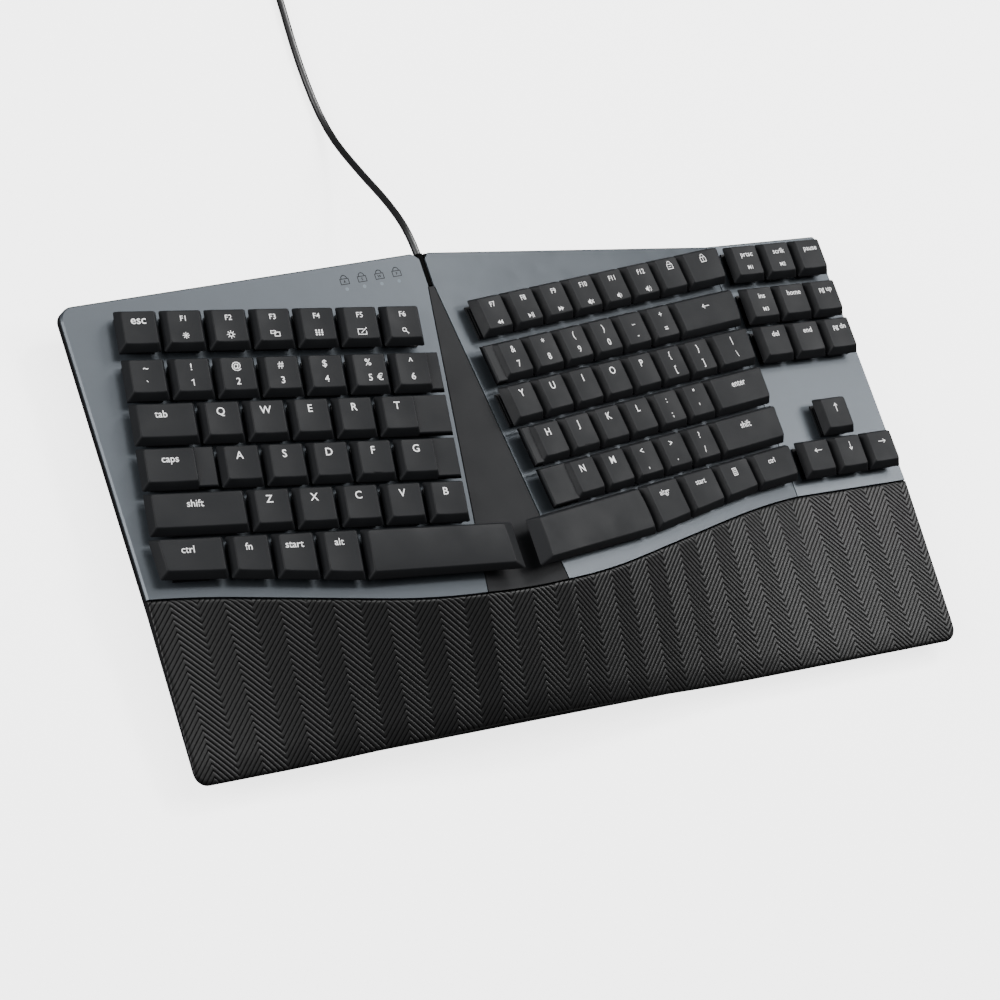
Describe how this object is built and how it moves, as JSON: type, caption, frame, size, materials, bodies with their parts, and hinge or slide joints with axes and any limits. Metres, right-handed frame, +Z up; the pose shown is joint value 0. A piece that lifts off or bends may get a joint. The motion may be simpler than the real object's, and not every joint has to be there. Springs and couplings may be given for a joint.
{
  "type": "ergonomic keyboard",
  "caption": "Corded ergonomic keyboard with two tented key halves, a level navigation block and a long wavy palm rest.",
  "frame": {"origin": "middle of the case outline, on the table plane", "axes": "+X to the right of the person typing, +Y away from them, +Z up"},
  "size_m": [0.3984, 0.4154, 0.0464],
  "materials": {
    "deck_metal": "satin",
    "wedge_plastic": "satin",
    "key_plastic": "matte",
    "shell_plastic": "matte",
    "switch_plastic": "gloss",
    "pad_leather": "satin",
    "board": "matte",
    "lens": "gloss",
    "screw_steel": "brushed",
    "rubber": "matte",
    "cable": "satin",
    "plug_metal": "satin"
  },
  "bodies": {
    "case": {"base_shell": "shell_plastic", "left_deck_plate": "deck_metal", "right_deck_plate": "deck_metal", "nav_deck_plate": "deck_metal", "centre_wedge": "wedge_plastic", "palm_rest_frame": "shell_plastic", "palm_rest_pad": "pad_leather", "left_switch_housings": "switch_plastic", "right_switch_housings": "switch_plastic", "nav_switch_housings": "switch_plastic", "left_circuit_board": "board", "right_circuit_board": "board", "nav_circuit_board": "board", "controller_board": "board", "status_lenses": "lens", "case_screws": "screw_steel", "rubber_feet": "rubber", "strain_relief": "rubber", "cable_lead": "cable", "cable_coil": "cable", "usb_plug_housing": "shell_plastic", "usb_plug_shell": "plug_metal"},
    "left_flip": {"left_flip_foot": "shell_plastic"},
    "right_flip": {"right_flip_foot": "shell_plastic"},
    "key_esc_body": {"key_esc": "key_plastic"},
    "keys_f1_f6_body": {"keys_f1_f6": "key_plastic"},
    "keys_digits_left_body": {"keys_digits_left": "key_plastic"},
    "key_tab_body": {"key_tab": "key_plastic"},
    "keys_upper_left_body": {"keys_upper_left": "key_plastic"},
    "key_caps_lock_body": {"key_caps_lock": "key_plastic"},
    "keys_home_left_body": {"keys_home_left": "key_plastic"},
    "key_shift_left_body": {"key_shift_left": "key_plastic"},
    "keys_lower_left_body": {"keys_lower_left": "key_plastic"},
    "key_ctrl_left_body": {"key_ctrl_left": "key_plastic"},
    "key_fn_body": {"key_fn": "key_plastic"},
    "key_start_left_body": {"key_start_left": "key_plastic"},
    "key_alt_body": {"key_alt": "key_plastic"},
    "key_space_left_body": {"key_space_left": "key_plastic"},
    "keys_f7_f12_body": {"keys_f7_f12": "key_plastic"},
    "key_lock_wide_body": {"key_lock_wide": "key_plastic"},
    "keys_digits_right_body": {"keys_digits_right": "key_plastic"},
    "key_backspace_body": {"key_backspace": "key_plastic"},
    "keys_upper_right_body": {"keys_upper_right": "key_plastic"},
    "key_backslash_body": {"key_backslash": "key_plastic"},
    "keys_home_right_body": {"keys_home_right": "key_plastic"},
    "key_enter_body": {"key_enter": "key_plastic"},
    "keys_lower_right_body": {"keys_lower_right": "key_plastic"},
    "key_shift_right_body": {"key_shift_right": "key_plastic"},
    "key_space_right_body": {"key_space_right": "key_plastic"},
    "key_altgr_body": {"key_altgr": "key_plastic"},
    "key_start_right_body": {"key_start_right": "key_plastic"},
    "key_menu_body": {"key_menu": "key_plastic"},
    "key_ctrl_right_body": {"key_ctrl_right": "key_plastic"},
    "keys_nav_top_body": {"keys_nav_top": "key_plastic"},
    "keys_nav_middle_body": {"keys_nav_middle": "key_plastic"},
    "keys_nav_bottom_body": {"keys_nav_bottom": "key_plastic"},
    "key_up_body": {"key_up": "key_plastic"},
    "key_left_body": {"key_left": "key_plastic"},
    "key_down_body": {"key_down": "key_plastic"},
    "key_right_body": {"key_right": "key_plastic"}
  },
  "joints": [
    {"name": "left_flip_fold", "type": "hinge", "parent": "case", "child": "left_flip", "pos_m": [-0.1328, 0.086, 0.004], "axis": [1, 0, 0], "range_deg": [0, 90]},
    {"name": "right_flip_fold", "type": "hinge", "parent": "case", "child": "right_flip", "pos_m": [0.1672, 0.086, 0.004], "axis": [1, 0, 0], "range_deg": [0, 90]},
    {"name": "key_esc_press", "type": "slide", "parent": "case", "child": "key_esc_body", "axis": [0.1392, 0, -0.9903], "range_m": [0, 0.003], "stiffness_N_per_m": 83, "springref_m": -0.0042},
    {"name": "keys_f1_f6_press", "type": "slide", "parent": "case", "child": "keys_f1_f6_body", "axis": [0.1392, 0, -0.9903], "range_m": [0, 0.003], "stiffness_N_per_m": 498, "springref_m": -0.0042},
    {"name": "keys_digits_left_press", "type": "slide", "parent": "case", "child": "keys_digits_left_body", "axis": [0.1392, 0, -0.9903], "range_m": [0, 0.003], "stiffness_N_per_m": 581, "springref_m": -0.0042},
    {"name": "key_tab_press", "type": "slide", "parent": "case", "child": "key_tab_body", "axis": [0.1392, 0, -0.9903], "range_m": [0, 0.003], "stiffness_N_per_m": 83, "springref_m": -0.0042},
    {"name": "keys_upper_left_press", "type": "slide", "parent": "case", "child": "keys_upper_left_body", "axis": [0.1392, 0, -0.9903], "range_m": [0, 0.003], "stiffness_N_per_m": 415, "springref_m": -0.0042},
    {"name": "key_caps_lock_press", "type": "slide", "parent": "case", "child": "key_caps_lock_body", "axis": [0.1392, 0, -0.9903], "range_m": [0, 0.003], "stiffness_N_per_m": 83, "springref_m": -0.0042},
    {"name": "keys_home_left_press", "type": "slide", "parent": "case", "child": "keys_home_left_body", "axis": [0.1392, 0, -0.9903], "range_m": [0, 0.003], "stiffness_N_per_m": 415, "springref_m": -0.0042},
    {"name": "key_shift_left_press", "type": "slide", "parent": "case", "child": "key_shift_left_body", "axis": [0.1392, 0, -0.9903], "range_m": [0, 0.003], "stiffness_N_per_m": 83, "springref_m": -0.0042},
    {"name": "keys_lower_left_press", "type": "slide", "parent": "case", "child": "keys_lower_left_body", "axis": [0.1392, 0, -0.9903], "range_m": [0, 0.003], "stiffness_N_per_m": 415, "springref_m": -0.0042},
    {"name": "key_ctrl_left_press", "type": "slide", "parent": "case", "child": "key_ctrl_left_body", "axis": [0.1392, 0, -0.9903], "range_m": [0, 0.003], "stiffness_N_per_m": 83, "springref_m": -0.0042},
    {"name": "key_fn_press", "type": "slide", "parent": "case", "child": "key_fn_body", "axis": [0.1392, 0, -0.9903], "range_m": [0, 0.003], "stiffness_N_per_m": 83, "springref_m": -0.0042},
    {"name": "key_start_left_press", "type": "slide", "parent": "case", "child": "key_start_left_body", "axis": [0.1392, 0, -0.9903], "range_m": [0, 0.003], "stiffness_N_per_m": 83, "springref_m": -0.0042},
    {"name": "key_alt_press", "type": "slide", "parent": "case", "child": "key_alt_body", "axis": [0.1392, 0, -0.9903], "range_m": [0, 0.003], "stiffness_N_per_m": 83, "springref_m": -0.0042},
    {"name": "key_space_left_press", "type": "slide", "parent": "case", "child": "key_space_left_body", "axis": [0.1392, 0, -0.9903], "range_m": [0, 0.003], "stiffness_N_per_m": 83, "springref_m": -0.0042},
    {"name": "keys_f7_f12_press", "type": "slide", "parent": "case", "child": "keys_f7_f12_body", "axis": [-0.1392, 0, -0.9903], "range_m": [0, 0.003], "stiffness_N_per_m": 581, "springref_m": -0.0042},
    {"name": "key_lock_wide_press", "type": "slide", "parent": "case", "child": "key_lock_wide_body", "axis": [-0.1392, 0, -0.9903], "range_m": [0, 0.003], "stiffness_N_per_m": 83, "springref_m": -0.0042},
    {"name": "keys_digits_right_press", "type": "slide", "parent": "case", "child": "keys_digits_right_body", "axis": [-0.1392, 0, -0.9903], "range_m": [0, 0.003], "stiffness_N_per_m": 498, "springref_m": -0.0042},
    {"name": "key_backspace_press", "type": "slide", "parent": "case", "child": "key_backspace_body", "axis": [-0.1392, 0, -0.9903], "range_m": [0, 0.003], "stiffness_N_per_m": 83, "springref_m": -0.0042},
    {"name": "keys_upper_right_press", "type": "slide", "parent": "case", "child": "keys_upper_right_body", "axis": [-0.1392, 0, -0.9903], "range_m": [0, 0.003], "stiffness_N_per_m": 581, "springref_m": -0.0042},
    {"name": "key_backslash_press", "type": "slide", "parent": "case", "child": "key_backslash_body", "axis": [-0.1392, 0, -0.9903], "range_m": [0, 0.003], "stiffness_N_per_m": 83, "springref_m": -0.0042},
    {"name": "keys_home_right_press", "type": "slide", "parent": "case", "child": "keys_home_right_body", "axis": [-0.1392, 0, -0.9903], "range_m": [0, 0.003], "stiffness_N_per_m": 498, "springref_m": -0.0042},
    {"name": "key_enter_press", "type": "slide", "parent": "case", "child": "key_enter_body", "axis": [-0.1392, 0, -0.9903], "range_m": [0, 0.003], "stiffness_N_per_m": 83, "springref_m": -0.0042},
    {"name": "keys_lower_right_press", "type": "slide", "parent": "case", "child": "keys_lower_right_body", "axis": [-0.1392, 0, -0.9903], "range_m": [0, 0.003], "stiffness_N_per_m": 415, "springref_m": -0.0042},
    {"name": "key_shift_right_press", "type": "slide", "parent": "case", "child": "key_shift_right_body", "axis": [-0.1392, 0, -0.9903], "range_m": [0, 0.003], "stiffness_N_per_m": 83, "springref_m": -0.0042},
    {"name": "key_space_right_press", "type": "slide", "parent": "case", "child": "key_space_right_body", "axis": [-0.1392, 0, -0.9903], "range_m": [0, 0.003], "stiffness_N_per_m": 83, "springref_m": -0.0042},
    {"name": "key_altgr_press", "type": "slide", "parent": "case", "child": "key_altgr_body", "axis": [-0.1392, 0, -0.9903], "range_m": [0, 0.003], "stiffness_N_per_m": 83, "springref_m": -0.0042},
    {"name": "key_start_right_press", "type": "slide", "parent": "case", "child": "key_start_right_body", "axis": [-0.1392, 0, -0.9903], "range_m": [0, 0.003], "stiffness_N_per_m": 83, "springref_m": -0.0042},
    {"name": "key_menu_press", "type": "slide", "parent": "case", "child": "key_menu_body", "axis": [-0.1392, 0, -0.9903], "range_m": [0, 0.003], "stiffness_N_per_m": 83, "springref_m": -0.0042},
    {"name": "key_ctrl_right_press", "type": "slide", "parent": "case", "child": "key_ctrl_right_body", "axis": [-0.1392, 0, -0.9903], "range_m": [0, 0.003], "stiffness_N_per_m": 83, "springref_m": -0.0042},
    {"name": "keys_nav_top_press", "type": "slide", "parent": "case", "child": "keys_nav_top_body", "axis": [0, 0, -1], "range_m": [0, 0.003], "stiffness_N_per_m": 249, "springref_m": -0.0042},
    {"name": "keys_nav_middle_press", "type": "slide", "parent": "case", "child": "keys_nav_middle_body", "axis": [0, 0, -1], "range_m": [0, 0.003], "stiffness_N_per_m": 249, "springref_m": -0.0042},
    {"name": "keys_nav_bottom_press", "type": "slide", "parent": "case", "child": "keys_nav_bottom_body", "axis": [0, 0, -1], "range_m": [0, 0.003], "stiffness_N_per_m": 249, "springref_m": -0.0042},
    {"name": "key_up_press", "type": "slide", "parent": "case", "child": "key_up_body", "axis": [0, 0, -1], "range_m": [0, 0.003], "stiffness_N_per_m": 83, "springref_m": -0.0042},
    {"name": "key_left_press", "type": "slide", "parent": "case", "child": "key_left_body", "axis": [0, 0, -1], "range_m": [0, 0.003], "stiffness_N_per_m": 83, "springref_m": -0.0042},
    {"name": "key_down_press", "type": "slide", "parent": "case", "child": "key_down_body", "axis": [0, 0, -1], "range_m": [0, 0.003], "stiffness_N_per_m": 83, "springref_m": -0.0042},
    {"name": "key_right_press", "type": "slide", "parent": "case", "child": "key_right_body", "axis": [0, 0, -1], "range_m": [0, 0.003], "stiffness_N_per_m": 83, "springref_m": -0.0042}
  ]
}
